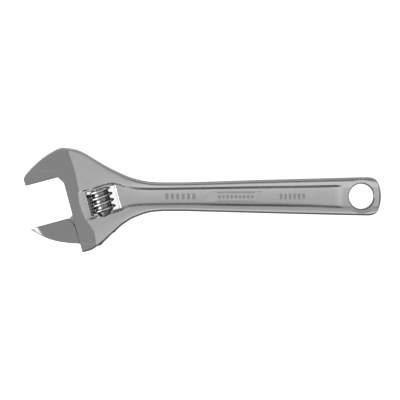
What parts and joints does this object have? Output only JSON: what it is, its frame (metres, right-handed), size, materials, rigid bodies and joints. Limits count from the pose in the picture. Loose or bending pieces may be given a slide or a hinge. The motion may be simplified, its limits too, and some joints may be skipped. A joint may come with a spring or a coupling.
{
  "type": "adjustable wrench",
  "caption": "Adjustable wrench with an angled head: a worm turned by the thumb drives a sliding jaw against a fixed jaw, on a recessed handle with a hanging hole.",
  "frame": {"origin": "centre of the hanging hole, at mid thickness", "axes": "+X along the handle from the jaws to the hanging hole, +Y towards the fixed jaw's side, +Z out of the front face"},
  "size_m": [0.2045, 0.0601, 0.014],
  "materials": {
    "body": "satin chrome, with ground jaw and guide faces",
    "movable_jaw": "ground and lightly brushed",
    "worm": "machined and polished",
    "worm_pin": "turned",
    "worm_spring": "drawn spring wire"
  },
  "bodies": {
    "wrench": {"body": "body", "worm_pin": "worm_pin", "worm_spring": "worm_spring"},
    "jaw": {"movable_jaw": "movable_jaw"},
    "worm": {"worm": "worm"}
  },
  "joints": [
    {"name": "jaw_slide", "type": "slide", "parent": "wrench", "child": "jaw", "axis": [0.2588, -0.9659, 0], "range_m": [-0.0244, 0.003]},
    {"name": "worm_spin", "type": "hinge", "parent": "wrench", "child": "worm", "pos_m": [-0.1485, -0.0025, 0], "axis": [0.2588, -0.9659, 0], "range_deg": [-300, 2410]}
  ],
  "couplings": [
    {"joint": "worm_spin", "follows": "jaw_slide", "rad_per_m": -1721.4}
  ]
}
